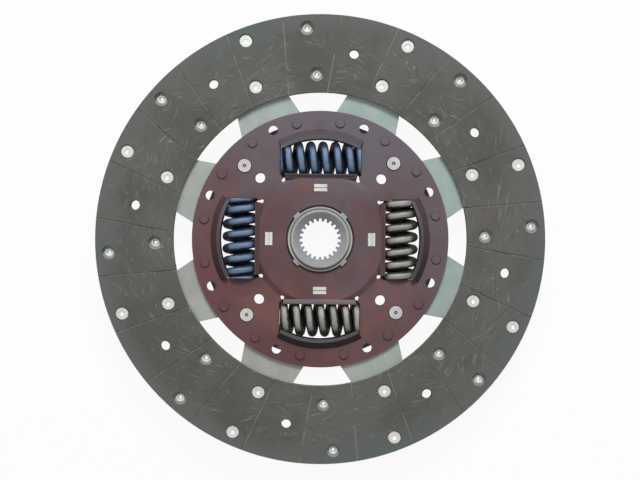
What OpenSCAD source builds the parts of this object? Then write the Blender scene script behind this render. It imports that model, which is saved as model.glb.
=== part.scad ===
// Clutch disc with a coil spring torsion damper, lying flat with its gearbox side up.
// Millimetres. The origin is under the centre of the hub, on the surface that the hub rests on.

/* [Facings] */
// Outer diameter of both friction facings
facing_od = 275; // [266:1:300]
// Inner diameter of both friction facings
facing_id = 180; // [176:1:196]
// Thickness of one facing
facing_t = 3.5; // [3.1:0.1:5]
// Number of grooves across a facing
groove_count = 24; // [8:8:32]
// Width of a groove
groove_w = 0.8; // [0.6:0.1:1.6]
// Depth of a groove
groove_depth = 0.5; // [0.4:0.1:1.2]
// Angle between a groove and the radius
groove_tilt = 6; // [0:1:12]
// Angle of the first groove, at the middle of the facing's width
groove_start = 11.2; // [10:0.1:12]

/* [Facing rivets] */
// Distance from the facing's outer edge to the outer row of rivets
outer_row_inset = 8.1; // [7:0.1:12]
// Distance from the facing's inner edge to the inner row of rivets
inner_row_inset = 10.9; // [9:0.1:14]
// Diameter of a rivet's head
facing_head_d = 8.2; // [7:0.1:9]
// Thickness of a rivet's head
facing_head_t = 0.9; // [0.6:0.1:1.2]
// Diameter of a rivet's shank
facing_shank_d = 4.4; // [3.6:0.1:4.8]
// Diameter of a rivet's rolled tail
facing_tail_d = 6.4; // [6:0.1:7]
// Thickness of the facing that is left under a rivet's head
head_seat_t = 1.4; // [1:0.1:1.8]
// Distance from the facing's outer edge to the row of plain holes
hole_row_inset = 22.5; // [20:0.1:26]
// Diameter of the plain holes between the rows
plain_hole_d = 5.8; // [4:0.1:6.2]

/* [Cushion plates] */
// Number of cushion plates between the facings
cushion_count = 8; // [8]
// Thickness of the cushion steel
cushion_t = 0.8; // [0.6:0.1:1]
// Height of the wave to each side of the middle plane
cushion_wave = 0.5; // [0.3:0.1:0.6]
// Angle of the middle of the first cushion plate's neck
cushion_start = 23.9; // [23:0.1:25]
// Width of a neck where it leaves the disc plate
neck_root_w = 38.9; // [34:0.1:40]
// Width of a neck where it enters between the facings
neck_tip_w = 34.1; // [30:0.1:36]
// Gap between the disc plate's edge and the facings
neck_len = 11.5; // [8:0.5:14]

/* [Disc plate and retaining plate] */
// Thickness of both plates
plate_t = 2.6; // [2:0.1:3]
// Height of the raised centre above the plate's rim
centre_rise = 2; // [1.6:0.1:2.6]
// Distance from the plate's edge to the circle of rim rivets
rim_rivet_inset = 6.5; // [5.5:0.1:7]
// Half of the angle between the two rim rivets of a cushion plate
rim_rivet_half_angle = 11.8; // [9:0.1:13]
// Diameter of a rim rivet's head
rim_head_d = 6; // [5:0.1:6.6]
// Diameter of a rim rivet's shank
rim_shank_d = 4; // [3:0.1:4.6]
// Thickness of a rim rivet's head
rim_head_t = 1; // [0.8:0.1:1.6]
// Diameter of the hole between two rim rivets
rim_hole_d = 5.7; // [4:0.1:6]
// Diameter of the four round jig holes
jig_hole_d = 6.3; // [4:0.1:7]
// Height of the lips along the windows
lip_rise = 4.5; // [4:0.1:4.6]
// Radius of the arc that a lip's tip follows
lip_arc_r = 48; // [47:0.5:52]

/* [Springs] */
// Outer diameter of a damper spring
spring_od = 23; // [21.6:0.1:23.2]
// Diameter of the spring wire
wire_d = 5.2; // [4.4:0.1:5.4]
// Length of a spring in its window
spring_len = 48.8; // [46:0.2:49.4]
// Number of turns of wire in a spring
spring_turns = 7.4; // [6.4:0.1:7.5]
// Distance from the disc plate's edge to a spring's axis
spring_inset = 29.9; // [29.4:0.1:30.4]

/* [Hub] */
// Length of the hub
hub_len = 30; // [26:0.5:40]
// Diameter of the hub's barrel
barrel_d = 36; // [33:0.5:37]
// Distance that the hub stands in front of the facings' middle plane
hub_front = 9; // [8:0.5:10]
// Thickness of the hub's flange
flange_t = 6; // [5:0.5:8]
// Number of spline teeth
spline_teeth = 23; // [10:1:26]
// Diameter across the bottoms of the spline's grooves
spline_major_d = 25.6; // [24:0.1:26.4]
// Diameter across the tops of the spline's teeth
spline_minor_d = 22; // [20:0.1:22.6]
// Depth of the cone at the front end of the bore
bore_cone = 3.8; // [2:0.1:4]

/* [Stop pins] */
// Distance from the disc plate's edge to the circle of stop pins
pin_inset = 14; // [13:0.1:15]
// Diameter of a stop pin between the plates
pin_body_d = 11; // [9.5:0.1:12]
// Diameter of a stop pin's riveted ends
pin_end_d = 9; // [6:0.1:9.2]
// Height of a stop pin's end above the plate
pin_end_rise = 0.8; // [0.4:0.1:1.2]
// Turn of the hub from its rest to either stop, less the offset of the pins
stop_half_travel = 10; // [6:0.5:10]

/* [Friction damper] */
// Distance from the hub's flange to each plate
flange_gap = 1.2; // [1:0.1:2]
// Thickness of the bush rings round the barrel
bush_wall = 1.7; // [1.4:0.1:2.2]
// Distance from a bush ring to the tips of its lugs
lug_len = 1.6; // [1:0.1:2]
// Width of a lug
lug_w = 4.4; // [3.6:0.1:6]
// Height of the bush rings above the plates' raised centres
bush_rise = 2; // [0.6:0.1:2.4]
// Thickness of the front bush's flange
bush_flange_t = 1.6; // [1:0.1:2]
// Length of a thrust ring's tab along the circle
tab_len = 8; // [6:0.1:10]
// Width of a thrust ring's tab along the radius
tab_w = 4.4; // [3:0.1:4.6]
// Distance from a spring's axis to the circle of tabs
tab_inset = 17.2; // [17:0.1:18]

/* [Hidden] */
$fn = 96;
cut = 1;

// Clearances
press_gap = 0.02;
run_gap = 0.05;
loose_gap = 0.2;
hole_gap = 0.2;
spring_gap = 0.3;
lug_gap = 0.3;
cushion_gap = 2;
centre_hole_gap = 1.2;

// Circles
plate_r = facing_id / 2 - neck_len;
rim_rivet_r = plate_r - rim_rivet_inset;
pin_r = plate_r - pin_inset;
spring_r = plate_r - spring_inset;
tab_r = spring_r - tab_inset;
jig_hole_offset = 4;
jig_hole_r = spring_r + jig_hole_offset;
outer_row_r = facing_od / 2 - outer_row_inset;
inner_row_r = facing_id / 2 + inner_row_inset;
hole_row_r = facing_od / 2 - hole_row_inset;

// Edges of round pieces
retaining_overhang = 0.6;
retaining_r = rim_rivet_r + retaining_overhang;
rim_head_margin = 0.5;
cushion_inner_r = rim_rivet_r - rim_head_d / 2 - rim_head_margin;
cushion_outer_inset = 2;
cushion_outer_r = facing_od / 2 - cushion_outer_inset;
rim_hole_shift = 0.4;
rim_hole_r = rim_rivet_r + rim_hole_shift;
flange_r = cushion_inner_r - cushion_gap;
bush_d = barrel_d + 2 * bush_wall;
centre_hole_r = bush_d / 2 + centre_hole_gap;
tab_inner_margin = 1.2;
tab_outer_margin = 0.8;
bush_flange_r = tab_r - tab_w / 2 - tab_inner_margin;
thrust_outer_r = tab_r + tab_w / 2 + tab_outer_margin;
bevel_inset = 9.6;
bevel_run = 3.5;
bevel_in_r = spring_r - bevel_inset;
bevel_out_r = bevel_in_r + bevel_run;
bevel_undercut = 0.8;

// Windows
window_angles = [0, 90, 180, 270];
arm_angles = [45, 135, 225, 315];
window_half = spring_len / 2 + spring_gap;
spring_inner = spring_r - spring_od / 2;
window_inner_cover = 2.8;
window_inner = spring_inner + window_inner_cover;
window_corner_r = 1.5;
lip_corner_r = 4;
lip_base_w = 1.3;
lip_foot_z = 1;
lip_foot_lean = 0.6;
lip_knee_lean = 1;
lip_tip_share = 0.6;
lip_tip_z = plate_t + lip_tip_share * lip_rise;
lip_tip_lean = 4.5;
lip_tip_w = 2;
lip_tip_reach = 12.7;
lip_tip_x = spring_r + lip_tip_reach;
lip_centre_x = lip_tip_x - lip_arc_r;
window_arc_r = lip_arc_r + lip_tip_lean;
inner_lip_w = 3;
inner_lip_base = window_inner - inner_lip_w;
inner_lip_edge = 0.6;
inner_lip_rise = 1.2;
relief_d = 2.4;
relief_neck_w = 1.5;
relief_inset = [1.1, 1.8];
relief_at = [spring_inner, window_half] - relief_inset;
flange_relief_d = 3.2;
flange_relief_inset = [0.9, 1.8];
flange_relief_at = [spring_inner, window_half] - flange_relief_inset;

// Heights
middle_z = hub_len - hub_front;
disc_back_z = middle_z + cushion_t / 2;
disc_front_z = disc_back_z + plate_t;
centre_front_z = disc_front_z + centre_rise;
plate_space = flange_t + 2 * flange_gap;
retaining_front_z = disc_back_z - plate_space;
retaining_back_z = retaining_front_z - plate_t;
flange_z = retaining_front_z + flange_gap;
axis_z = flange_z + flange_t / 2;
front_facing_z = middle_z + cushion_wave + cushion_t / 2;
rear_facing_z = middle_z - cushion_wave - cushion_t / 2 - facing_t;
bush_top_z = centre_front_z + bush_rise;
centre_back_z = centre_front_z - plate_t;
cone_spring_h = 1;
rear_ring_t = 0.9;
rear_ring_z = retaining_front_z - centre_rise + cone_spring_h + rear_ring_t;
tab_rise = 0.5;

// Pattern of the facings, from the middle of a neck
pattern_step = 360 / cushion_count;
hole_offset = pattern_step / 4;
paddle_middle = hole_offset - pattern_step / 2;
paddle_gap_angle = 3;
paddle_half_angle = (pattern_step - paddle_gap_angle) / 2;
paddle_inset = 1;
outer_half_angle = 8.5;
inner_half_angle = 10.9;
outer_front_rivet = paddle_middle + outer_half_angle;
outer_rear_rivet = paddle_middle - outer_half_angle;
inner_front_rivet = paddle_middle + inner_half_angle;
inner_rear_rivet = paddle_middle - inner_half_angle;
pin_offset = cushion_start + pattern_step / 2 - arm_angles[0];

// Copies of the children at a radius, once for each angle
module around(angles, r = 0) {
    for (a = angles) rotate(a) translate([r, 0]) children();
}

// Angles of a pattern that repeats with every cushion plate
function plate_angles(offset) =
    [for (k = [0 : cushion_count - 1]) cushion_start + offset + k * pattern_step];

// Flat ring
module ring(outer_r, inner_r, h) {
    difference() {
        cylinder(r = outer_r, h = h);
        translate([0, 0, -cut]) cylinder(r = inner_r, h = h + 2 * cut);
    }
}

// Friction facing with its friction face up and its back at z = 0.
// Its own rivets sit in counterbores, and the other facing's rivets show through clearance holes.
module facing(own_outer, own_inner, other_outer, other_inner, tilt) {
    mean_r = (facing_od + facing_id) / 4;
    groove_len = facing_od - facing_id;
    counterbore_d = facing_head_d + 2 * hole_gap;
    difference() {
        ring(facing_od / 2, facing_id / 2, facing_t);
        for (k = [0 : groove_count - 1])
            rotate(groove_start + k * 360 / groove_count)
                translate([mean_r, 0, facing_t - groove_depth])
                    rotate(tilt)
                        translate([-groove_len / 2, -groove_w / 2, 0])
                            cube([groove_len, groove_w, groove_depth + cut]);
        for (row = [[own_outer, outer_row_r], [own_inner, inner_row_r]])
            around(row[0], row[1]) {
                translate([0, 0, -cut])
                    cylinder(d = facing_shank_d + 2 * hole_gap, h = facing_t + 2 * cut);
                translate([0, 0, head_seat_t])
                    cylinder(d = counterbore_d, h = facing_t);
            }
        for (row = [[other_outer, outer_row_r], [other_inner, inner_row_r]])
            around(row[0], row[1])
                translate([0, 0, -cut]) cylinder(d = counterbore_d, h = facing_t + 2 * cut);
        around(plate_angles(hole_offset), hole_row_r)
            translate([0, 0, -cut]) cylinder(d = plain_hole_d, h = facing_t + 2 * cut);
    }
}

module front_facing() {
    color("dimgray")
        translate([0, 0, front_facing_z])
            facing(plate_angles(outer_front_rivet), plate_angles(inner_front_rivet),
                plate_angles(outer_rear_rivet), plate_angles(inner_rear_rivet), -groove_tilt);
}

module rear_facing() {
    color("dimgray")
        translate([0, 0, rear_facing_z + facing_t])
            mirror([0, 0, 1])
                facing(plate_angles(outer_rear_rivet), plate_angles(inner_rear_rivet),
                    plate_angles(outer_front_rivet), plate_angles(inner_front_rivet), groove_tilt);
}

// Wedge from the centre, between two angles less than half a turn apart
module wedge(low, high) {
    reach = facing_od;
    middle = (low + high) / 2;
    polygon([
        [0, 0],
        reach * [cos(low), sin(low)],
        reach * [cos(middle), sin(middle)],
        reach * [cos(high), sin(high)]
    ]);
}

// Part of a flat ring between two angles
module ring_sector(outer_r, inner_r, low, high) {
    intersection() {
        difference() {
            circle(r = outer_r);
            circle(r = inner_r);
        }
        wedge(low, high);
    }
}

// Flat neck of a cushion plate, from the disc plate's rim rivets to just inside the facings
module cushion_neck() {
    root_x = sqrt(pow(plate_r, 2) - pow(neck_root_w / 2, 2));
    tip_x = sqrt(pow(facing_id / 2, 2) - pow(neck_tip_w / 2, 2));
    taper = (neck_root_w - neck_tip_w) / 2 / (tip_x - root_x);
    spare = 5;
    overlap = 1;
    low_x = cushion_inner_r - spare;
    high_x = facing_id / 2 + spare;
    low_half = neck_root_w / 2 + taper * (root_x - low_x);
    high_half = neck_root_w / 2 - taper * (high_x - root_x);
    linear_extrude(cushion_t, center = true)
        intersection() {
            difference() {
                circle(r = facing_id / 2 + paddle_inset + overlap);
                circle(r = cushion_inner_r);
            }
            polygon([[low_x, -low_half], [high_x, -high_half], [high_x, high_half], [low_x, low_half]]);
        }
}

// Wavy sheet that the paddle is cut from, with its front crest and its rear crest along the rivets
module cushion_wave_sheet() {
    crest = inner_row_r * sin(inner_half_angle);
    flat = crest / 4;
    ramp = crest / 3;
    path = [
        [-2 * facing_od, 0], [-crest - flat - ramp, 0],
        [-crest - flat, -cushion_wave], [-crest + flat, -cushion_wave],
        [-crest + flat + ramp, 0], [crest - flat - ramp, 0],
        [crest - flat, cushion_wave], [crest + flat, cushion_wave],
        [crest + flat + ramp, 0], [2 * facing_od, 0]
    ];
    top = [for (p = path) p + [0, cushion_t / 2]];
    bottom = [for (k = [len(path) - 1 : -1 : 0]) path[k] - [0, cushion_t / 2]];
    rotate([90, 0, 90])
        linear_extrude(facing_od)
            polygon(concat(top, bottom));
}

// Cushion plate number k: a neck riveted to the disc plate and a wavy paddle between the facings
module cushion_plate(k) {
    height = 4 * cushion_wave + 4 * cushion_t;
    translate([0, 0, middle_z])
        rotate(cushion_start + k * pattern_step)
            difference() {
                union() {
                    cushion_neck();
                    intersection() {
                        rotate(paddle_middle) cushion_wave_sheet();
                        translate([0, 0, -height / 2])
                            linear_extrude(height)
                                ring_sector(cushion_outer_r, facing_id / 2 + paddle_inset,
                                    paddle_middle - paddle_half_angle, paddle_middle + paddle_half_angle);
                    }
                }
                translate([0, 0, -height / 2]) {
                    around([outer_front_rivet, outer_rear_rivet], outer_row_r)
                        cylinder(d = facing_shank_d + 2 * press_gap, h = height);
                    around([inner_front_rivet, inner_rear_rivet], inner_row_r)
                        cylinder(d = facing_shank_d + 2 * press_gap, h = height);
                    around([-rim_rivet_half_angle, rim_rivet_half_angle], rim_rivet_r)
                        cylinder(d = rim_shank_d + 2 * press_gap, h = height);
                    around([0], rim_hole_r) cylinder(d = rim_hole_d + 2 * hole_gap, h = height);
                }
            }
}

module cushion_plate_1() color("lightsteelblue") cushion_plate(0);
module cushion_plate_2() color("lightsteelblue") cushion_plate(1);
module cushion_plate_3() color("lightsteelblue") cushion_plate(2);
module cushion_plate_4() color("lightsteelblue") cushion_plate(3);
module cushion_plate_5() color("lightsteelblue") cushion_plate(4);
module cushion_plate_6() color("lightsteelblue") cushion_plate(5);
module cushion_plate_7() color("lightsteelblue") cushion_plate(6);
module cushion_plate_8() color("lightsteelblue") cushion_plate(7);

// Tubular rivet with its head up, open right through, clamping a facing and the cushion steel,
// whose back is at z = 0
module facing_rivet() {
    head_r = facing_head_d / 2;
    shank_r = facing_shank_d / 2;
    tail_r = facing_tail_d / 2;
    seat_z = cushion_t + head_seat_t;
    top_z = seat_z + facing_head_t;
    tail_t = 0.8;
    tail_rim_t = 0.25;
    edge = 0.4;
    wall_t = 0.7;
    bore_r = shank_r - wall_t;
    head_hole_r = 0.9;
    dimple = 0.2;
    rotate_extrude()
        polygon([
            [bore_r, -tail_t + edge], [bore_r + edge, -tail_t], [shank_r, -tail_t],
            [tail_r, -tail_rim_t], [tail_r, 0], [shank_r, 0], [shank_r, seat_z], [head_r, seat_z],
            [head_r, top_z - edge], [head_r - edge, top_z], [bore_r, top_z],
            [head_hole_r, top_z - dimple], [head_hole_r, seat_z], [bore_r, seat_z - edge]
        ]);
}

module front_facing_rivets() {
    back_z = front_facing_z - cushion_t;
    color("silver")
        translate([0, 0, back_z]) {
            around(plate_angles(outer_front_rivet), outer_row_r) facing_rivet();
            around(plate_angles(inner_front_rivet), inner_row_r) facing_rivet();
        }
}

module rear_facing_rivets() {
    back_z = rear_facing_z + facing_t + cushion_t;
    color("silver")
        translate([0, 0, back_z])
            mirror([0, 0, 1]) {
                around(plate_angles(outer_rear_rivet), outer_row_r) facing_rivet();
                around(plate_angles(inner_rear_rivet), inner_row_r) facing_rivet();
            }
}

// Solid rivet through the disc plate and a cushion plate
module rim_rivet() {
    head_r = rim_head_d / 2;
    shank_r = rim_shank_d / 2;
    back_z = middle_z - cushion_t / 2;
    edge = 0.4;
    side_t = rim_head_t - edge;
    rotate_extrude()
        polygon([
            [0, back_z - rim_head_t], [head_r - edge, back_z - rim_head_t], [head_r, back_z - side_t],
            [head_r, back_z], [shank_r, back_z], [shank_r, disc_front_z], [head_r, disc_front_z],
            [head_r, disc_front_z + side_t], [head_r - edge, disc_front_z + rim_head_t],
            [0, disc_front_z + rim_head_t]
        ]);
}

module rim_rivets() {
    color("maroon")
        for (side = [-1, 1])
            around(plate_angles(side * rim_rivet_half_angle), rim_rivet_r) rim_rivet();
}

// Outline of a window on the X axis, with its outer side on an arc and rounded outer corners.
// Its inner side lies further in than the window's, which its slanted inner face sets.
module window_outline(outer_r, corner_r) {
    corner_y = window_half - corner_r;
    corner_reach = sqrt(pow(outer_r - corner_r, 2) - pow(corner_y, 2));
    corner_x = lip_centre_x + corner_reach;
    lean = atan2(corner_y, corner_reach);
    reach = 5 * corner_r;
    difference() {
        intersection() {
            translate([lip_centre_x, 0]) circle(r = outer_r);
            translate([spring_inner - cut, -window_half]) square([outer_r, 2 * window_half]);
        }
        for (side = [-1, 1])
            difference() {
                translate([corner_x, side * corner_y])
                    polygon([
                        [0, 0], [0, side * reach], [reach, side * reach],
                        reach * [cos(lean), side * sin(lean)]
                    ]);
                translate([corner_x, side * corner_y]) circle(r = corner_r);
            }
    }
}

// Slot from a window's inner corner that ends the inner lip
module relief_slot(height) {
    for (side = [-1, 1])
        translate([relief_at[0], side * relief_at[1], -cut])
            linear_extrude(height) {
                circle(d = relief_d);
                translate([0, -relief_neck_w / 2])
                    square([window_inner - relief_at[0] + cut, relief_neck_w]);
            }
}

// Cut for a window on the X axis. It leaves the outer lip leaning over the spring on the inside,
// and a slanted face along the inner side.
module window_cut() {
    height = plate_t + centre_rise + 2 * lip_rise;
    slope = (lip_tip_lean - lip_knee_lean) / (lip_tip_z - plate_t);
    top_r = window_arc_r - lip_knee_lean;
    spare = 0.3;
    inner_low = spring_inner + spare;
    inner_high_z = 5;
    inner_slope = (window_inner - inner_low) / inner_high_z;
    intersection() {
        union() {
            translate([0, 0, -cut])
                linear_extrude(plate_t + cut) window_outline(window_arc_r + spare, window_corner_r);
            translate([0, 0, plate_t])
                linear_extrude(height) window_outline(top_r + spare, lip_corner_r);
        }
        translate([lip_centre_x, 0, 0])
            rotate_extrude()
                polygon([
                    [0, -cut], [window_arc_r, -cut], [window_arc_r, 0],
                    [window_arc_r - lip_foot_lean, lip_foot_z], [top_r, plate_t],
                    [top_r - slope * (height - plate_t - cut), height - cut], [0, height - cut]
                ]);
        rotate([90, 0, 0])
            linear_extrude(4 * window_half, center = true)
                polygon([
                    [inner_low - inner_slope * 2 * cut, -2 * cut], [window_inner, inner_high_z],
                    [window_inner, height], [2 * plate_r, height], [2 * plate_r, -2 * cut]
                ]);
    }
    relief_slot(height);
}

// Lip along the outer side of a window on the X axis, before the window is cut
module outer_lip() {
    spare_angle = 1;
    half_angle = asin(window_half / window_arc_r) + spare_angle;
    root_r = window_arc_r - 2 * cut;
    base_r = window_arc_r + lip_base_w;
    top_z = plate_t + lip_rise;
    past_tip = [lip_arc_r, lip_tip_z] - [lip_tip_w, top_z - lip_tip_z] / 2;
    translate([lip_centre_x, 0, 0])
        rotate([0, 0, -half_angle])
            rotate_extrude(angle = 2 * half_angle)
                polygon([
                    [root_r, plate_t / 2], [base_r, plate_t / 2], [base_r, plate_t],
                    [lip_arc_r + lip_tip_w, top_z], past_tip
                ]);
}

// Lip along the inner side of a window on the X axis, before the window is cut
module inner_lip() {
    low_z = centre_rise + plate_t / 8;
    base_z = plate_t + centre_rise;
    top_z = base_z + inner_lip_rise;
    translate([0, relief_at[1], 0])
        rotate([90, 0, 0])
            linear_extrude(2 * relief_at[1])
                polygon([
                    [inner_lip_base, low_z], [window_inner + cut, low_z], [window_inner + cut, top_z],
                    [window_inner - inner_lip_edge, top_z], [inner_lip_base, base_z]
                ]);
}

// Pressed plate with its back at z = 0 and its lips and raised centre towards +Z
module pressed_plate(outer_r) {
    height = plate_t + centre_rise + 2 * cut;
    difference() {
        union() {
            rotate_extrude()
                polygon([
                    [0, centre_rise], [bevel_in_r - bevel_undercut, centre_rise],
                    [bevel_out_r - bevel_undercut, 0], [outer_r, 0], [outer_r, plate_t],
                    [bevel_out_r, plate_t], [bevel_in_r, plate_t + centre_rise],
                    [0, plate_t + centre_rise]
                ]);
            around(window_angles) outer_lip();
            around(window_angles) inner_lip();
        }
        around(window_angles) window_cut();
        translate([0, 0, -cut]) {
            cylinder(r = centre_hole_r, h = height);
            around(arm_angles)
                translate([0, -lug_w / 2 - lug_gap, 0])
                    cube([bush_d / 2 + lug_len + lug_gap, lug_w + 2 * lug_gap, height]);
            around(window_angles, tab_r)
                translate([-tab_w / 2 - loose_gap, -tab_len / 2 - loose_gap, 0])
                    cube([tab_w + 2 * loose_gap, tab_len + 2 * loose_gap, height]);
            around(arm_angles, jig_hole_r) cylinder(d = jig_hole_d, h = height);
            around([for (a = arm_angles) a + pin_offset], pin_r)
                cylinder(d = pin_end_d + 2 * press_gap, h = height);
        }
    }
}

module disc_plate() {
    height = plate_t + 2 * cut;
    color("maroon")
        translate([0, 0, disc_back_z])
            difference() {
                pressed_plate(plate_r);
                translate([0, 0, -cut]) {
                    for (side = [-1, 1])
                        around(plate_angles(side * rim_rivet_half_angle), rim_rivet_r)
                            cylinder(d = rim_shank_d + 2 * press_gap, h = height);
                    around(plate_angles(0), rim_hole_r) cylinder(d = rim_hole_d, h = height);
                }
            }
}

module retaining_plate() {
    color("maroon")
        translate([0, 0, retaining_front_z])
            mirror([0, 0, 1]) pressed_plate(retaining_r);
}

// Stop pin with a shoulder between the plates and a riveted end in each plate
module stop_pin() {
    body_r = pin_body_d / 2;
    end_r = pin_end_d / 2;
    edge = 0.5;
    dimple_r = 1.1;
    dimple = 0.5;
    low_z = retaining_back_z - pin_end_rise;
    high_z = disc_front_z + pin_end_rise;
    rotate_extrude()
        polygon([
            [0, low_z + dimple], [dimple_r / 3, low_z + dimple], [dimple_r, low_z],
            [end_r - edge, low_z], [end_r, low_z + edge],
            [end_r, retaining_front_z + press_gap], [body_r, retaining_front_z + press_gap],
            [body_r, disc_back_z - press_gap], [end_r, disc_back_z - press_gap],
            [end_r, high_z - edge], [end_r - edge, high_z], [dimple_r, high_z],
            [dimple_r / 3, high_z - dimple], [0, high_z - dimple]
        ]);
}

module stop_pins() {
    color("lightgray")
        around([for (a = arm_angles) a + pin_offset], pin_r) stop_pin();
}

// Open notch in the tip of a flange arm, in which a stop pin travels
module stop_notch() {
    notch_r = pin_body_d / 2 + loose_gap;
    reach = flange_r;
    floor_r = pin_r - notch_r - 2 * loose_gap;
    ring_sector(pin_r + reach, floor_r, -stop_half_travel, stop_half_travel);
    around([-stop_half_travel, stop_half_travel], pin_r) {
        circle(r = notch_r);
        translate([0, -notch_r]) square([reach, 2 * notch_r]);
    }
}

// Outline of the hub's flange: a disc with four open notches for the springs, which leave four arms
module flange_outline() {
    notch_half = window_half - loose_gap;
    notch_inner = spring_inner - spring_gap;
    difference() {
        circle(r = flange_r);
        around(window_angles) {
            translate([notch_inner, -notch_half]) square([flange_r, 2 * notch_half]);
            for (side = [-1, 1])
                translate([flange_relief_at[0], side * flange_relief_at[1]])
                    circle(d = flange_relief_d);
        }
        around(arm_angles) stop_notch();
        around(arm_angles, jig_hole_r) circle(d = jig_hole_d + 2 * loose_gap);
    }
}

// Outline of the splined bore: straight-sided grooves cut into a round bore
module spline_outline() {
    minor_r = spline_minor_d / 2;
    major_r = spline_major_d / 2;
    half_pitch = PI * (major_r + minor_r) / 2 / spline_teeth;
    root_half = 0.62 * half_pitch;
    tip_half = 0.36 * half_pitch;
    first_groove = 90;
    circle(r = minor_r);
    intersection() {
        circle(r = major_r);
        around([for (k = [0 : spline_teeth - 1]) first_groove + k * 360 / spline_teeth])
            polygon([
                [minor_r - cut, -root_half], [major_r + cut, -tip_half],
                [major_r + cut, tip_half], [minor_r - cut, root_half]
            ]);
    }
}

module hub() {
    barrel_r = barrel_d / 2;
    overlap = 0.3;
    rear_bore_cone = 1;
    root_r = spline_minor_d / 2 - overlap;
    front_cone = spline_major_d / 2 + bore_cone - root_r;
    rear_cone = spline_major_d / 2 + rear_bore_cone - root_r;
    edge = 0.8;
    color("lightslategray")
        difference() {
            union() {
                rotate_extrude()
                    polygon([
                        [0, 0], [barrel_r - edge, 0], [barrel_r, edge],
                        [barrel_r, hub_len - edge], [barrel_r - edge, hub_len], [0, hub_len]
                    ]);
                translate([0, 0, flange_z]) linear_extrude(flange_t) flange_outline();
            }
            translate([0, 0, -cut]) linear_extrude(hub_len + 2 * cut) spline_outline();
            translate([0, 0, hub_len - front_cone])
                cylinder(r1 = root_r, r2 = root_r + front_cone + cut, h = front_cone + cut);
            translate([0, 0, -cut])
                cylinder(r1 = root_r + rear_cone + cut, r2 = root_r, h = rear_cone + cut);
        }
}

// Distance along a spring's axis of the wire's middle after a number of turns.
// The end turns touch their neighbours, and the wire's tips are ground off flat at the ends.
function wire_along(turn) =
    let (end_turns = 0.9, ground_off = 0.27 * wire_d, tip = -spring_len / 2 - ground_off,
        free_pitch = -2 * (tip + end_turns * wire_d) / (spring_turns - 2 * end_turns))
    turn < end_turns ? tip + turn * wire_d
    : turn > spring_turns - end_turns ? -tip - (spring_turns - turn) * wire_d
    : (turn - spring_turns / 2) * free_pitch;

// Right-hand coil spring along the X axis, with the wire's last tip at the angle end_angle
module coil_spring(end_angle) {
    coil_r = (spring_od - wire_d) / 2;
    sides = 10;
    steps_per_turn = 20;
    steps = round(steps_per_turn * spring_turns);
    half_len = spring_len / 2;
    tip_x = half_len - wire_d / 8;
    tip_angle = 1.5;
    start_angle = end_angle - 360 * spring_turns;
    surface = [
        for (k = [0 : steps], j = [0 : sides - 1])
            let (turn = k * spring_turns / steps, around_coil = start_angle + 360 * turn,
                around_wire = 360 * j / sides, r = coil_r + wire_d / 2 * cos(around_wire),
                x = wire_along(turn) + wire_d / 2 * sin(around_wire))
            [max(-half_len, min(half_len, x)), r * cos(around_coil), r * sin(around_coil)]
    ];
    // Each cut end of the wire rises a little, to one point
    tips = [
        for (tip = [[-tip_x, start_angle - tip_angle], [tip_x, end_angle + tip_angle]])
            [tip[0], coil_r * cos(tip[1]), coil_r * sin(tip[1])]
    ];
    start_tip = len(surface);
    start_cap = [for (j = [0 : sides - 1]) [start_tip, j, (j + 1) % sides]];
    end_cap = [
        for (j = [0 : sides - 1])
            [start_tip + 1, steps * sides + (j + 1) % sides, steps * sides + j]
    ];
    walls = [
        for (k = [0 : steps - 1], j = [0 : sides - 1])
            let (a = k * sides + j, b = k * sides + (j + 1) % sides)
            each [[a, a + sides, b], [b, a + sides, b + sides]]
    ];
    polyhedron(concat(surface, tips), concat(start_cap, end_cap, walls), convexity = 10);
}

// Spring in the window at an angle, with its wire's last tip at the angle end_angle round its axis
module damper_spring(window_angle, end_angle) {
    rotate(window_angle)
        translate([spring_r, 0, axis_z])
            rotate(90) coil_spring(end_angle);
}

module spring_right() color("darkgray") damper_spring(0, 344);
module spring_top() color("royalblue") damper_spring(90, 126);
module spring_left() color("royalblue") damper_spring(180, 126);
module spring_bottom() color("darkgray") damper_spring(270, 270);

// Bush ring round the barrel with four lugs, from z = 0 up to a height
module bush_ring(height) {
    bore_r = barrel_d / 2 + run_gap;
    edge = 0.7;
    difference() {
        union() {
            cylinder(d = bush_d, h = height);
            around(arm_angles)
                translate([0, -lug_w / 2, 0]) cube([bush_d / 2 + lug_len, lug_w, height - edge / 2]);
        }
        translate([0, 0, -cut]) cylinder(r = bore_r, h = height + 2 * cut);
        translate([0, 0, height - edge]) cylinder(r1 = bore_r, r2 = bore_r + edge + cut, h = edge + cut);
    }
}

module front_bush() {
    flange_low_z = centre_back_z - press_gap - bush_flange_t;
    color("gainsboro") {
        translate([0, 0, flange_low_z]) bush_ring(bush_top_z - flange_low_z);
        translate([0, 0, flange_low_z]) ring(bush_flange_r, barrel_d / 2 + run_gap, bush_flange_t);
    }
}

// Friction washer against the front of the hub's flange
module front_washer() {
    low_z = flange_z + flange_t + run_gap;
    high_z = centre_back_z - 2 * press_gap - bush_flange_t;
    color("saddlebrown")
        translate([0, 0, low_z]) ring(thrust_outer_r, barrel_d / 2 + loose_gap, high_z - low_z);
}

// Ring with four tabs that stand in the slots of a plate, with its flat side at z = 0.
// The tabs stand on the circle of slots and a groove runs along the top of each.
module thrust_ring(inner_r, thickness, height) {
    groove = 0.8;
    groove_depth_in_tab = 1.2;
    ring(thrust_outer_r, inner_r, thickness);
    around(window_angles, tab_r)
        difference() {
            translate([-tab_w / 2, -tab_len / 2, 0]) cube([tab_w, tab_len, height]);
            translate([-groove / 2, -tab_len / 2 - cut, height - groove_depth_in_tab])
                cube([groove, tab_len + 2 * cut, groove_depth_in_tab + cut]);
        }
}

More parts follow.
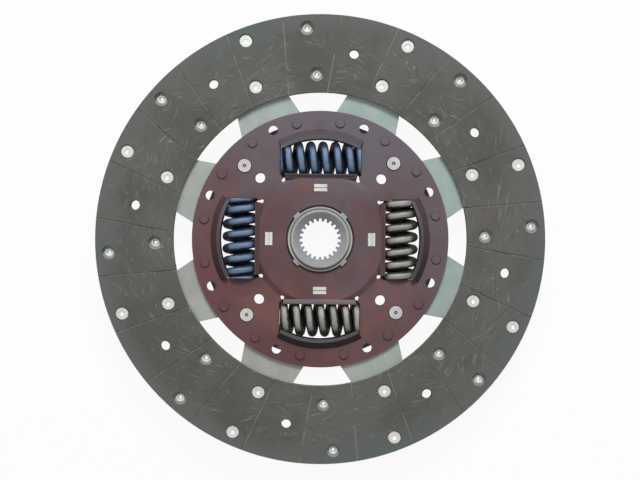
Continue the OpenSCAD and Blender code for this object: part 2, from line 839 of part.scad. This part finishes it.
module front_thrust_ring() {
    low_z = centre_back_z - press_gap - bush_flange_t;
    color("gainsboro")
        translate([0, 0, low_z])
            thrust_ring(bush_flange_r + loose_gap, bush_flange_t, centre_front_z + tab_rise - low_z);
}

module rear_bush() {
    high_z = retaining_front_z - centre_rise + cone_spring_h;
    low_z = retaining_back_z - centre_rise - bush_rise;
    color("gainsboro")
        translate([0, 0, high_z])
            mirror([0, 0, 1]) bush_ring(high_z - low_z);
}

// Friction washer against the back of the hub's flange
module rear_washer() {
    high_z = flange_z - run_gap;
    low_z = rear_ring_z + press_gap;
    color("saddlebrown")
        translate([0, 0, low_z]) ring(thrust_outer_r, barrel_d / 2 + loose_gap, high_z - low_z);
}

module rear_thrust_ring() {
    tab_end_z = retaining_back_z - centre_rise - tab_rise;
    color("gainsboro")
        translate([0, 0, rear_ring_z])
            mirror([0, 0, 1])
                thrust_ring(bush_d / 2 + loose_gap, rear_ring_t, rear_ring_z - tab_end_z);
}

// Cone spring between the retaining plate and the rear thrust ring
module cone_spring() {
    inner_r = bush_d / 2 + lug_len + loose_gap;
    outer_r = tab_r - tab_w / 2 - loose_gap;
    sheet_t = 0.5;
    low_z = retaining_front_z - centre_rise + press_gap;
    high_z = low_z + cone_spring_h - 2 * press_gap;
    color("silver")
        rotate_extrude()
            polygon([
                [inner_r, low_z], [inner_r + sheet_t / 2, low_z], [outer_r, high_z - sheet_t],
                [outer_r, high_z], [outer_r - sheet_t / 2, high_z], [inner_r, low_z + sheet_t]
            ]);
}

front_facing();
rear_facing();
cushion_plate_1();
cushion_plate_2();
cushion_plate_3();
cushion_plate_4();
cushion_plate_5();
cushion_plate_6();
cushion_plate_7();
cushion_plate_8();
front_facing_rivets();
rear_facing_rivets();
rim_rivets();
disc_plate();
retaining_plate();
stop_pins();
hub();
spring_right();
spring_top();
spring_left();
spring_bottom();
front_bush();
front_washer();
front_thrust_ring();
rear_bush();
rear_washer();
rear_thrust_ring();
cone_spring();
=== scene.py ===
import math

import bpy
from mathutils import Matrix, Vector


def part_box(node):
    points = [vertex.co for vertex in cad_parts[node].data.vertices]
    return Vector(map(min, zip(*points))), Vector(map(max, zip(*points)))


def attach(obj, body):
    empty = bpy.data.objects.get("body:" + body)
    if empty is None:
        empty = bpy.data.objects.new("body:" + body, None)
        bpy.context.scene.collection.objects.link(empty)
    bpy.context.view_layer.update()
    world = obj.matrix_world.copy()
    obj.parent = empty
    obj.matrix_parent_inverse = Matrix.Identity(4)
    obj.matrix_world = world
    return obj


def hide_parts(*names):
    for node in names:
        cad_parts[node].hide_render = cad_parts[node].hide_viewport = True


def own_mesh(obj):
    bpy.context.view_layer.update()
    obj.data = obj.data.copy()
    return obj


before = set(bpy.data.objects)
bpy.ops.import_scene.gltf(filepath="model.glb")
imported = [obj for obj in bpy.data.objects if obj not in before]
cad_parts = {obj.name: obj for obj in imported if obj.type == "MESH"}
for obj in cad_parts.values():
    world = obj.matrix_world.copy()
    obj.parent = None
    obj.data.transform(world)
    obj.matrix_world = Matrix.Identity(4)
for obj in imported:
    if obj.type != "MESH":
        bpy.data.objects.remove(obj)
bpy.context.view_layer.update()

# Sizes, in metres, taken from the frame or from the CAD source
MM = 0.001
FACING_CORNER = Vector(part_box("front_facing")[1])
FACING_RADIUS = FACING_CORNER.x
FACING_INNER = 90 * MM
FACE_TOP = FACING_CORNER.z
FACE_BOTTOM = Vector(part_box("rear_facing")[0]).z
FACE_MIDDLE = (FACE_TOP + FACE_BOTTOM) / 2
FACE_HALF = (FACE_TOP - FACE_BOTTOM) / 2
SPRING_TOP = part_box("spring_top")[1][2]
BARREL_RADIUS = 18 * MM

# The disc plate: the top of its raised centre, which the thrust ring's tabs stand above, the distance
# at which its arms run into its rim, and the circle of its rim holes
TAB_STAND = 0.5 * MM
CENTRE_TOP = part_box("front_thrust_ring")[1][2] - TAB_STAND
ARM_REACH = 58 * MM
RIM_HOLE_RADIUS = 72.4 * MM

# The photograph's view: straight down, 275 mm of facing across 450.2 pixels. The holes through both
# facings look 0.8 mm narrower along the radius than across it, which gives the camera's height.
PHOTO_WIDTH_PX, PHOTO_HEIGHT_PX = 640, 480
PHOTO_PX_PER_DISC = 450.2
PHOTO_CENTRE_PX = (320.14, 239.1)
PHOTO_ROLL_DEG = 0.6
CAMERA_HEIGHT = 1.23
SENSOR_WIDTH_MM = 36.0

# Lowest and highest roughness of two kinds of bare steel, and how metallic both are
SATIN = (0.35, 0.5)
BRIGHT = (0.3, 0.45)
STEEL_METALLIC = 0.3


def linear(red, green, blue):
    """Linear colour of an sRGB colour written as 0 to 255."""
    def channel(c):
        c /= 255
        return c / 12.92 if c <= 0.04045 else ((c + 0.055) / 1.055) ** 2.4
    return channel(red), channel(green), channel(blue), 1.0


class Shader:
    """A material whose nodes are added one call at a time."""

    def __init__(self, name):
        self.material = bpy.data.materials.new(name)
        self.material.use_nodes = True
        self.tree = self.material.node_tree
        self.bsdf = self.tree.nodes["Principled BSDF"]
        coordinates = self.add("ShaderNodeTexCoord").outputs
        self.place = coordinates["Object"]
        self.normal = coordinates["Normal"]

    def add(self, kind, inputs=(), **settings):
        """A new node with these settings, fed with these values or links."""
        node = self.tree.nodes.new(kind)
        for key, value in settings.items():
            setattr(node, key, value)
        for key, value in dict(inputs).items():
            self.feed(node.inputs[key], value)
        return node

    def feed(self, socket, value):
        """Links a socket to another one, or sets it to a constant."""
        if isinstance(value, bpy.types.NodeSocket):
            self.tree.links.new(value, socket)
        else:
            socket.default_value = value

    def math(self, operation, *values):
        """Result of one arithmetic operation."""
        return self.add("ShaderNodeMath", dict(enumerate(values)), operation=operation).outputs[0]

    def times(self, product, *factors):
        """Product of two or more values."""
        for factor in factors:
            product = self.math("MULTIPLY", product, factor)
        return product

    def ramp(self, value, low, high, to_low=0.0, to_high=1.0):
        """Maps a value smoothly from one range onto another."""
        node = self.add("ShaderNodeMapRange", {
            "Value": value, "From Min": low, "From Max": high, "To Min": to_low, "To Max": to_high,
        }, interpolation_type="SMOOTHSTEP")
        return node.outputs["Result"]

    def noise(self, scale, detail=3.0, roughness=0.55, place=None, distortion=0.0):
        """Cloudy values round 0.5. The scale counts waves per metre, or per unit of another place."""
        node = self.add("ShaderNodeTexNoise", {
            "Vector": place or self.place, "Scale": scale, "Detail": detail,
            "Roughness": roughness, "Distortion": distortion,
        })
        return node.outputs["Fac"]

    def mix(self, share, first, second):
        """One colour turning into another as the share goes from 0 to 1."""
        # Input 0 is the factor, and inputs 6 and 7 and output 2 are the colours
        return self.add("ShaderNodeMix", {0: share, 6: first, 7: second}, data_type="RGBA").outputs[2]

    def blend(self, share, first, second):
        """One value turning into another as the share goes from 0 to 1."""
        # Input 0 is the factor, and inputs 2 and 3 and output 0 are the values
        return self.add("ShaderNodeMix", {0: share, 2: first, 3: second}).outputs[0]

    def cover(self, colour, *layers):
        """The colour under some layers, each written as its share and its own colour."""
        for share, tint in layers:
            colour = self.mix(share, colour, tint)
        return colour

    def split(self, place=None):
        """The X, Y and Z of a vector, or of the place on the object."""
        return self.add("ShaderNodeSeparateXYZ", {"Vector": place or self.place}).outputs

    def join(self, x, y, z=0.0):
        """A vector made of its X, Y and Z."""
        return self.add("ShaderNodeCombineXYZ", {"X": x, "Y": y, "Z": z}).outputs[0]

    def radius(self):
        """Distance from the disc's axis."""
        axes = self.split()
        flat = self.join(axes["X"], axes["Y"])
        return self.add("ShaderNodeVectorMath", {0: flat}, operation="LENGTH").outputs["Value"]

    def angle(self):
        """Angle round the disc's axis, in radians."""
        axes = self.split()
        return self.math("ARCTAN2", axes["Y"], axes["X"])

    def bump(self, height, distance, strength):
        """Relief from a height of 0 to 1, which stands for this distance."""
        node = self.add("ShaderNodeBump", {"Height": height, "Distance": distance, "Strength": strength})
        self.feed(self.bsdf.inputs["Normal"], node.outputs["Normal"])

    def finish(self, colour, roughness, **constants):
        """The material with this colour and roughness, and constants for the shader's other inputs."""
        self.feed(self.bsdf.inputs["Base Color"], colour)
        self.feed(self.bsdf.inputs["Roughness"], roughness)
        for name, value in constants.items():
            self.bsdf.inputs[name.replace("_", " ")].default_value = value
        return self.material


def yarn(s, across):
    """Height of the wound strands, and flecks along them, for two families of arcs that cross."""
    strands_round, strands_across = 190.0, 26.0
    wander_reach, fleck_squeeze = 3.2, 0.16
    arc = s.math("SINE", s.times(across, math.pi / 2))
    turn = s.math("DIVIDE", s.angle(), math.tau / strands_round)
    climb = s.times(arc, strands_across)
    wander = s.times(s.noise(70.0, 2.0), wander_reach)
    rising = s.math("ADD", s.math("ADD", turn, climb), wander)
    falling = s.math("ADD", s.math("SUBTRACT", turn, climb), wander)

    def family(phase, along):
        """Height of one family's strands, and flecks of colour drawn out along them."""
        ridge = s.math("ABSOLUTE", s.math("SINE", s.times(phase, math.pi)))
        fleck = s.noise(1.0, 2.0, 0.6, s.join(phase, s.times(along, fleck_squeeze)))
        return ridge, fleck

    rising_ridge, rising_fleck = family(rising, falling)
    falling_ridge, falling_fleck = family(falling, rising)
    on_top = s.ramp(s.noise(95.0, 1.0), 0.44, 0.56)
    return s.blend(on_top, rising_ridge, falling_ridge), s.blend(on_top, rising_fleck, falling_fleck)


def lining_ground(s, across):
    """Grey resin between the strands, paler towards the rim and bluish there in patches."""
    grey = s.mix(s.ramp(s.noise(28.0, 3.0), 0.35, 0.65), linear(81, 82, 75), linear(94, 93, 89))
    near_rim = s.ramp(across, 0.7, 1.0)
    blue_patch = s.times(s.ramp(s.noise(22.0, 2.0), 0.5, 0.7), s.ramp(across, 0.5, 1.0))
    return s.cover(grey, (near_rim, linear(96, 97, 95)), (blue_patch, linear(88, 97, 95)))


def dust_and_painted_light(s):
    """Share of pale dust in the grooves and holes, which lie below the facings' outer faces; the pale
    colour there is also painted light that lifts their shade.
    """
    off_middle = s.math("ABSOLUTE", s.math("SUBTRACT", s.split()["Z"], FACE_MIDDLE))
    sunk = s.ramp(off_middle, FACE_HALF - 0.1 * MM, FACE_HALF - 0.4 * MM)
    return s.times(sunk, s.ramp(s.noise(75.0, 2.0), 0.62, 0.48, 0.2, 0.85))


def facing_lining():
    """Wound yarn in resin, tan and olive on dark grey, with rusty patches, pale chips, and pale dust that
    is also painted light in the grooves and holes.
    """
    s = Shader("facing_lining")
    width = FACING_RADIUS - FACING_INNER
    across = s.math("DIVIDE", s.math("SUBTRACT", s.radius(), FACING_INNER), width)
    ridge, fleck = yarn(s, across)
    patch = s.ramp(s.noise(60.0, 3.0), 0.36, 0.64)
    shown = s.times(s.ramp(across, 0.98, 0.62), s.math("MULTIPLY_ADD", patch, 0.65, 0.35))
    tan = s.times(s.ramp(fleck, 0.56, 0.72), shown, 0.7)
    olive = s.times(s.ramp(fleck, 0.47, 0.33), shown, 0.35)
    rust = s.times(s.ramp(s.noise(34.0, 2.0), 0.62, 0.75), 0.25)
    chip = s.times(shown, 0.7, s.ramp(s.noise(420.0, 1.0), 0.73, 0.79))
    # The last layer is pale dust, also painted light that lifts the shade in the grooves and holes
    colour = s.cover(lining_ground(s, across), (tan, linear(130, 129, 119)), (olive, linear(68, 70, 63)),
                     (rust, linear(108, 88, 82)), (chip, linear(158, 156, 144)),
                     (dust_and_painted_light(s), linear(130, 130, 122)))
    grain = s.noise(900.0, 4.0, 0.65)
    relief = s.math("MULTIPLY_ADD", s.times(ridge, shown), 0.55, s.times(grain, 0.5))
    s.bump(relief, 0.16 * MM, 0.4)
    return s.finish(colour, s.math("MULTIPLY_ADD", fleck, -0.2, 0.86), Specular_IOR_Level=0.3)


def upright(s):
    """How far the surface faces straight up or down: 1 when it lies flat, 0 when it stands."""
    return s.math("ABSOLUTE", s.split(s.normal)["Z"])


def sloping(s):
    """Share of painted shade on a stop pin: in the dimple and on the chamfer, and none on the flat end.
    """
    return s.ramp(upright(s), 0.98, 0.9)


def beyond_barrel(s):
    """Share of painted shade on the hub: the flange between the plates is painted dark, the barrel is
    left as it is.
    """
    return s.ramp(s.radius(), BARREL_RADIUS + 0.2 * MM, BARREL_RADIUS + 0.8 * MM)


def below_centre(s):
    """Share of painted shade on the bush: dark below the disc plate's centre, and some on the ring's
    south side.
    """
    axes = s.split()
    gap = s.ramp(axes["Z"], CENTRE_TOP - 0.3 * MM, CENTRE_TOP - 1.5 * MM)
    south = s.ramp(axes["Y"], -0.6 * BARREL_RADIUS, -BARREL_RADIUS, 0.0, 0.45)
    return s.math("MAXIMUM", gap, south)


def brushed_metal(name, dark, pale, roughness, round_grain=False, spots=0.0, shade_mask=None):
    """Bare steel with a fine grain, slow changes of tone and, where asked, dull spots or painted shade.
    """
    s = Shader(name)
    slow = s.noise(45.0, 3.0)
    if round_grain:
        fine = s.noise(1.0, 3.0, 0.6, s.join(s.times(s.radius(), 4200.0), s.times(s.angle(), 2.0)))
    else:
        fine = s.noise(700.0, 3.0, 0.7)
    tone = s.math("MULTIPLY_ADD", fine, 0.35, s.times(slow, 0.65))
    colour = s.mix(s.ramp(tone, 0.3, 0.7), dark, pale)
    if spots:
        spot = s.times(s.ramp(s.noise(260.0, 2.0), 0.6, 0.72), spots)
        colour = s.mix(spot, colour, linear(96, 92, 82))
    # Painted shade, dark where the mask asks for it
    if shade_mask:
        colour = s.mix(s.times(shade_mask(s), 0.92), colour, linear(30, 27, 25))
    s.bump(fine, 0.03 * MM, 0.35)
    return s.finish(colour, s.ramp(tone, 0.25, 0.75, *roughness), Metallic=STEEL_METALLIC)


def bush_steel(name, shade_mask=None):
    """Turned steel of the two bushes."""
    return brushed_metal(name, linear(146, 149, 144), linear(170, 172, 166), BRIGHT,
                         round_grain=True, shade_mask=shade_mask)


def cushion_steel():
    """Thin spring steel: pale grey, greener towards the right and the top, with a fine grain."""
    s = Shader("cushion_steel")
    axes = s.split()
    lean = s.math("MULTIPLY_ADD", axes["Y"], 0.6, s.times(axes["X"], 0.8))
    tint = s.ramp(s.math("MULTIPLY_ADD", lean, 4.0, s.noise(24.0, 2.0)), 0.2, 0.85)
    slow = s.noise(70.0, 3.0)
    colour = s.mix(tint, linear(147, 149, 142), linear(140, 158, 155))
    colour = s.mix(s.times(s.ramp(slow, 0.3, 0.7), 0.5), colour, linear(161, 169, 162))
    s.bump(s.noise(700.0, 3.0, 0.7), 0.03 * MM, 0.35)
    return s.finish(colour, s.ramp(slow, 0.25, 0.75, *SATIN), Metallic=STEEL_METALLIC)


def coat_tone(s, axes, radius):
    """Maroon, with a painted purple-grey sheen to the north, warm patches to the south-west and dull
    ones.
    """
    lean = s.math("MULTIPLY_ADD", axes["Y"], 0.6, s.times(axes["X"], 0.1))
    # Painted sheen: purple-grey, stronger towards the north
    painted_sheen = s.ramp(s.math("ADD", s.noise(17.0, 3.0), s.times(lean, 5.0)), 0.25, 0.85)
    diagonal = s.math("ADD", axes["X"], axes["Y"])
    low_left = s.math("MULTIPLY_ADD", diagonal, -2.2, s.noise(26.0, 2.0, 0.5, distortion=0.4))
    on_arm = s.ramp(radius, ARM_REACH + 8 * MM, ARM_REACH, 0.2, 0.7)
    warm = s.times(s.ramp(low_left, 0.52, 0.7), on_arm)
    dull = s.times(s.ramp(s.noise(55.0, 3.0), 0.55, 0.75), 0.4)
    return s.cover(linear(78, 46, 46), (painted_sheen, linear(92, 84, 91)), (warm, linear(112, 68, 63)),
                   (dull, linear(62, 50, 46)))


def coat_scuffs(s, axes):
    """Layer of thin pale scuffs, drawn out along X."""
    stretched = s.join(s.times(axes["X"], 260.0), s.times(axes["Y"], 900.0), axes["Z"])
    return s.times(s.ramp(s.noise(1.0, 4.0, 0.7, stretched), 0.66, 0.74), 0.25), linear(122, 104, 108)


def lip_light_and_shade(s, axes, radius):
    """Painted light and shade on the window lips: slopes painted dark, more so where they face south;
    bare sheared tips painted light where they face south and dark where they face north; inner lips
    painted with shadow.
    """
    # The flat sheet's uprightness is 1, a sheared tip's is about 0.75 and a slope's is less
    flat = upright(s)
    north = s.split(s.normal)["Y"]
    # Slopes painted dark, more so where they face south
    slope = s.times(s.ramp(flat, 0.735, 0.69), s.ramp(north, 0.2, -0.6, 0.3, 0.95))
    # Sheared tips are bare steel, painted light where they face south and dark where they face north
    tip = s.times(s.ramp(flat, 0.725, 0.74), s.ramp(flat, 0.8, 0.77), 0.9)
    bare = s.mix(s.ramp(north, -0.7, 0.2), linear(143, 139, 146), linear(66, 60, 62))
    # Inner lips painted with shadow, more so where they lean towards north or south
    above = s.ramp(axes["Z"], CENTRE_TOP + 0.1 * MM, CENTRE_TOP + 0.5 * MM)
    inner = s.ramp(radius, ARM_REACH - 6 * MM, ARM_REACH - 8 * MM)
    shade = s.ramp(s.math("ABSOLUTE", north), 0.1, 0.44, 0.5, 0.88)
    return (slope, linear(22, 13, 16)), (tip, bare), (s.times(above, inner, shade), linear(38, 31, 35))


def rim_painted_light(s, axes, radius):
    """Painted light on the retaining plate's rim: a pale colour where it shows through the rim holes,
    which stands in for light that doesn't reach it there.
    """
    behind = s.ramp(axes["Z"], FACE_BOTTOM - 1 * MM, FACE_BOTTOM - 2 * MM)
    outer = s.ramp(radius, RIM_HOLE_RADIUS - 4 * MM, RIM_HOLE_RADIUS - 3 * MM)
    return s.times(behind, outer, 0.9), linear(190, 172, 178)


def maroon_coat():
    """Satin maroon coat of the plates and the rim rivets, with a painted sheen, scuffs, painted light and
    shade on the lips, and painted light on the rim.
    """
    s = Shader("maroon_coat")
    axes, radius = s.split(), s.radius()
    colour = s.cover(coat_tone(s, axes, radius), coat_scuffs(s, axes), *lip_light_and_shade(s, axes, radius),
                     rim_painted_light(s, axes, radius))
    s.bump(s.noise(520.0, 2.0), 0.05 * MM, 0.5)
    roughness = s.math("MULTIPLY_ADD", s.noise(90.0, 3.0), 0.2, 0.4)
    return s.finish(colour, roughness, Specular_IOR_Level=0.35, Coat_Weight=0.1, Coat_Roughness=0.4)


# Point attribute of a coil: 1 on the wire's side away from the coil's axis, -1 on the side towards it
OUTER_SIDE = "outer_side"


def spring_steel(name, low, high, worn, shade_colour, metallic):
    """Spring wire, worn on the coil's outer side, with painted shade on its other sides and low down."""
    s = Shader(name)
    slow = s.noise(120.0, 3.0)
    colour = s.mix(s.ramp(slow, 0.35, 0.65), low, high)
    rub = s.times(s.ramp(s.noise(330.0, 4.0, 0.7), 0.58, 0.7), 0.45)
    outer = s.add("ShaderNodeAttribute", attribute_name=OUTER_SIDE).outputs["Fac"]
    # Painted shade on the wire's sides away from the coil's outer side, and low down in the coil
    ragged = s.math("MULTIPLY_ADD", s.math("SUBTRACT", s.noise(260.0, 3.0), 0.5), 0.35, outer)
    flank = s.ramp(ragged, 0.92, 0.66)
    deep = s.ramp(s.split()["Z"], SPRING_TOP - 1.2 * MM, SPRING_TOP - 4.1 * MM)
    wire_shade = s.times(s.math("MAXIMUM", flank, deep), 0.94)
    colour = s.cover(colour, (rub, worn), (wire_shade, shade_colour))
    s.bump(s.noise(1100.0, 3.0, 0.7), 0.04 * MM, 0.5)
    roughness = s.math("MULTIPLY_ADD", slow, 0.2, 0.5)
    return s.finish(colour, roughness, Metallic=metallic, Specular_IOR_Level=0.3)


def friction_washer():
    """Brown pressed fibre."""
    s = Shader("friction_washer")
    fibre = s.noise(800.0, 4.0, 0.7)
    colour = s.mix(s.ramp(fibre, 0.35, 0.65), linear(84, 66, 48), linear(122, 100, 74))
    s.bump(fibre, 0.05 * MM, 0.5)
    return s.finish(colour, s.ramp(s.noise(60.0), 0.3, 0.7, 0.75, 0.9))


def dress(material, *nodes):
    """Gives CAD nodes this material in place of their own."""
    for name in nodes:
        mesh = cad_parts[name].data
        mesh.materials.clear()
        mesh.materials.append(material)


# Coil springs, as in the CAD source but smooth
SPRING_TURNS = 7.4
WIRE_RADIUS = 2.6 * MM
END_TURNS = 0.9
GROUND_OFF = 0.54 * WIRE_RADIUS
WIRE_SIDES = 20
RINGS_PER_TURN = 48
RINGS = round(RINGS_PER_TURN * SPRING_TURNS)
SHARP_EDGE = math.radians(40)


def wire_along(turn, half_length):
    """Place of the wire's middle along the spring's axis after a number of turns."""
    tip = -half_length - GROUND_OFF
    end_pitch = 2 * WIRE_RADIUS
    free_pitch = -2 * (tip + END_TURNS * end_pitch) / (SPRING_TURNS - 2 * END_TURNS)
    if turn < END_TURNS:
        return tip + turn * end_pitch
    if turn > SPRING_TURNS - END_TURNS:
        return -tip - (SPRING_TURNS - turn) * end_pitch
    return (turn - SPRING_TURNS / 2) * free_pitch


def coil_points(size, middle, along, out, end_deg):
    """Rings of points round the wire. Both ends of the coil are ground flat."""
    half_length = max(size.x, size.y) / 2
    coil_radius = size.z / 2 - WIRE_RADIUS
    up = Vector((0, 0, 1))
    points = []
    for k in range(RINGS + 1):
        turn = k * SPRING_TURNS / RINGS
        around_coil = math.radians(end_deg) + math.tau * (turn - SPRING_TURNS)
        # At angle 0 the wire is on the side of the disc's axis, and a quarter turn on it is on top
        spoke = -out * math.cos(around_coil) + up * math.sin(around_coil)
        for j in range(WIRE_SIDES):
            around_wire = math.tau * j / WIRE_SIDES
            radial = coil_radius + WIRE_RADIUS * math.cos(around_wire)
            axial = wire_along(turn, half_length) + WIRE_RADIUS * math.sin(around_wire)
            axial = max(-half_length, min(half_length, axial))
            points.append(middle + spoke * radial + along * axial)
    return points


def coil_faces():
    """Four-sided faces between the wire's rings, and a cap on each tip."""
    faces = []
    for k in range(RINGS):
        for j in range(WIRE_SIDES):
            a = k * WIRE_SIDES + j
            b = k * WIRE_SIDES + (j + 1) % WIRE_SIDES
            faces.append((a, a + WIRE_SIDES, b + WIRE_SIDES, b))
    faces.append(tuple(range(WIRE_SIDES)))
    faces.append(tuple(reversed(range(RINGS * WIRE_SIDES, (RINGS + 1) * WIRE_SIDES))))
    return faces


def coil_mesh(name, points):
    """Smooth mesh of a coil, with the attribute that tells the wire's outer side."""
    mesh = bpy.data.meshes.new(name)
    mesh.from_pydata(points, [], coil_faces())
    mesh.update()
    outer_side = mesh.attributes.new(OUTER_SIDE, "FLOAT", "POINT")
    for index, point in enumerate(outer_side.data):
        point.value = math.cos(math.tau * (index % WIRE_SIDES) / WIRE_SIDES)
    for polygon in mesh.polygons:
        polygon.use_smooth = True
    mesh.set_sharp_from_angle(angle=SHARP_EDGE)
    return mesh


def coil_spring(node, window_deg, end_deg, material):
    """Replaces a CAD spring with a smooth right-hand coil of the same size and place."""
    low, high = (Vector(c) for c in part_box(node))
    middle = (low + high) / 2
    window = math.radians(window_deg)
    along = Vector((-math.sin(window), math.cos(window), 0))
    out = Vector((math.cos(window), math.sin(window), 0))
    mesh = coil_mesh(node + "_coil", coil_points(high - low, middle, along, out, end_deg))
    mesh.materials.append(material)
    coil = bpy.data.objects.new(node + "_coil", mesh)
    bpy.context.scene.collection.objects.link(coil)
    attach(coil, "springs")
    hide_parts(node)
    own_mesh(coil)


def any_ray(tree, first, *others):
    """Socket that is 1 for rays of these kinds and 0 for all others."""
    path = tree.nodes.new("ShaderNodeLightPath")
    seen = path.outputs[first]
    for kind in others:
        larger = tree.nodes.new("ShaderNodeMath")
        larger.operation = "MAXIMUM"
        tree.links.new(seen, larger.inputs[0])
        tree.links.new(path.outputs[kind], larger.inputs[1])
        seen = larger.outputs[0]
    return seen


def studio():
    """White surroundings for the camera and for reflections, and dimmer ones as light on the object."""
    strength_as_light, strength_when_seen = 0.18, 1.0
    world = bpy.data.worlds.new("studio")
    bpy.context.scene.world = world
    world.use_nodes = True
    tree = world.node_tree
    background = tree.nodes["Background"]
    background.inputs["Color"].default_value = (1, 1, 1, 1)
    strength = tree.nodes.new("ShaderNodeMapRange")
    strength.inputs["To Min"].default_value = strength_as_light
    strength.inputs["To Max"].default_value = strength_when_seen
    seen = any_ray(tree, "Is Camera Ray", "Is Glossy Ray", "Is Transmission Ray")
    tree.links.new(seen, strength.inputs["Value"])
    tree.links.new(strength.outputs["Result"], background.inputs["Strength"])


def floor_paint():
    """Pale matt grey, mostly replaced by plain white for the camera and for reflections."""
    white_share = 0.94
    material = bpy.data.materials.new("floor")
    material.use_nodes = True
    tree = material.node_tree
    surface = tree.nodes["Principled BSDF"]
    surface.inputs["Base Color"].default_value = (0.8, 0.8, 0.8, 1)
    surface.inputs["Roughness"].default_value = 0.9
    glow = tree.nodes.new("ShaderNodeEmission")
    glow.inputs["Color"].default_value = (1, 1, 1, 1)
    share = tree.nodes.new("ShaderNodeMath")
    share.operation = "MULTIPLY"
    share.inputs[1].default_value = white_share
    tree.links.new(any_ray(tree, "Is Camera Ray", "Is Glossy Ray"), share.inputs[0])
    blend = tree.nodes.new("ShaderNodeMixShader")
    for index, socket in enumerate((share.outputs[0], surface.outputs[0], glow.outputs[0])):
        tree.links.new(socket, blend.inputs[index])
    tree.links.new(blend.outputs[0], tree.nodes["Material Output"].inputs["Surface"])
    return material


def floor():
    """Floor that the disc lies on. It shows white to the camera and keeps a faint shadow."""
    half = 3.0
    mesh = bpy.data.meshes.new("floor")
    corners = [(-half, -half, 0), (half, -half, 0), (half, half, 0), (-half, half, 0)]
    mesh.from_pydata(corners, [], [(0, 1, 2, 3)])
    mesh.materials.append(floor_paint())
    obj = bpy.data.objects.new("floor", mesh)
    bpy.context.scene.collection.objects.link(obj)


def lamp(name, size, place, power):
    """Round soft lamp that shines on the middle of the disc."""
    target = Vector((0, 0, 0.02))
    data = bpy.data.lights.new(name, "AREA")
    data.shape = "DISK"
    data.size = size
    data.energy = power
    obj = bpy.data.objects.new(name, data)
    obj.location = place
    obj.rotation_euler = (target - Vector(place)).to_track_quat("-Z", "Y").to_euler()
    bpy.context.scene.collection.objects.link(obj)


def photo_camera():
    """Camera straight above the disc, framed and turned as in the photograph."""
    metres_per_px = 2 * FACING_RADIUS / PHOTO_PX_PER_DISC
    data = bpy.data.cameras.new("photo_camera")
    data.sensor_width = SENSOR_WIDTH_MM
    data.lens = SENSOR_WIDTH_MM * CAMERA_HEIGHT / (PHOTO_WIDTH_PX * metres_per_px)
    camera = bpy.data.objects.new("photo_camera", data)
    right = (PHOTO_WIDTH_PX / 2 - PHOTO_CENTRE_PX[0]) * metres_per_px
    down = (PHOTO_HEIGHT_PX / 2 - PHOTO_CENTRE_PX[1]) * metres_per_px
    camera.location = (right, -down, FACE_TOP + CAMERA_HEIGHT)
    camera.rotation_euler = (0, 0, math.radians(PHOTO_ROLL_DEG))
    bpy.context.scene.collection.objects.link(camera)
    bpy.context.scene.camera = camera


# Materials on the CAD nodes
dress(facing_lining(), "front_facing", "rear_facing")
dress(brushed_metal("rivet_steel", linear(194, 195, 190), linear(216, 216, 211), SATIN),
      "front_facing_rivets")
# The tails' steel is paler than the heads', painted light for the deep holes they sit in
dress(brushed_metal("rivet_tail_steel", linear(226, 226, 221), linear(246, 246, 242), SATIN),
      "rear_facing_rivets")
dress(cushion_steel(), *[f"cushion_plate_{k}" for k in range(1, 9)], "cone_spring")
dress(maroon_coat(), "disc_plate", "retaining_plate", "rim_rivets")
# The pin, the hub and the front bush get painted shade where their masks ask for it
dress(brushed_metal("pin_steel", linear(176, 174, 172), linear(200, 198, 196), BRIGHT, spots=0.3,
                    shade_mask=sloping), "stop_pins")
dress(brushed_metal("hub_steel", linear(150, 152, 156), linear(168, 170, 174), SATIN, round_grain=True,
                    shade_mask=beyond_barrel), "hub")
dress(bush_steel("bush_steel", shade_mask=below_centre), "front_bush")
dress(bush_steel("rear_bush_steel"), "rear_bush")
dress(brushed_metal("tab_steel", linear(194, 197, 191), linear(213, 212, 206), BRIGHT),
      "front_thrust_ring", "rear_thrust_ring")
dress(friction_washer(), "front_washer", "rear_washer")

# Springs: each has its window's direction and the angle at which its wire ends
# The last colour of each spring is its painted shade
blue = spring_steel("blue_spring", linear(92, 116, 140), linear(112, 130, 160),
                    worn=linear(136, 150, 172), shade_colour=linear(16, 26, 44), metallic=0.1)
bare = spring_steel("bare_spring", linear(136, 136, 128), linear(156, 156, 150),
                    worn=linear(116, 113, 104), shade_colour=linear(26, 25, 21), metallic=0.15)
coil_spring("spring_right", 0, 344, bare)
coil_spring("spring_top", 90, 126, blue)
coil_spring("spring_left", 180, 126, blue)
coil_spring("spring_bottom", 270, 270, bare)

# Light and camera
studio()
floor()
lamp("key", size=0.9, place=(0.15, 1.4, 1.65), power=45)
lamp("fill", size=1.4, place=(-1.0, 0.2, 1.7), power=3)
photo_camera()
bpy.context.scene.view_settings.view_transform = "Standard"
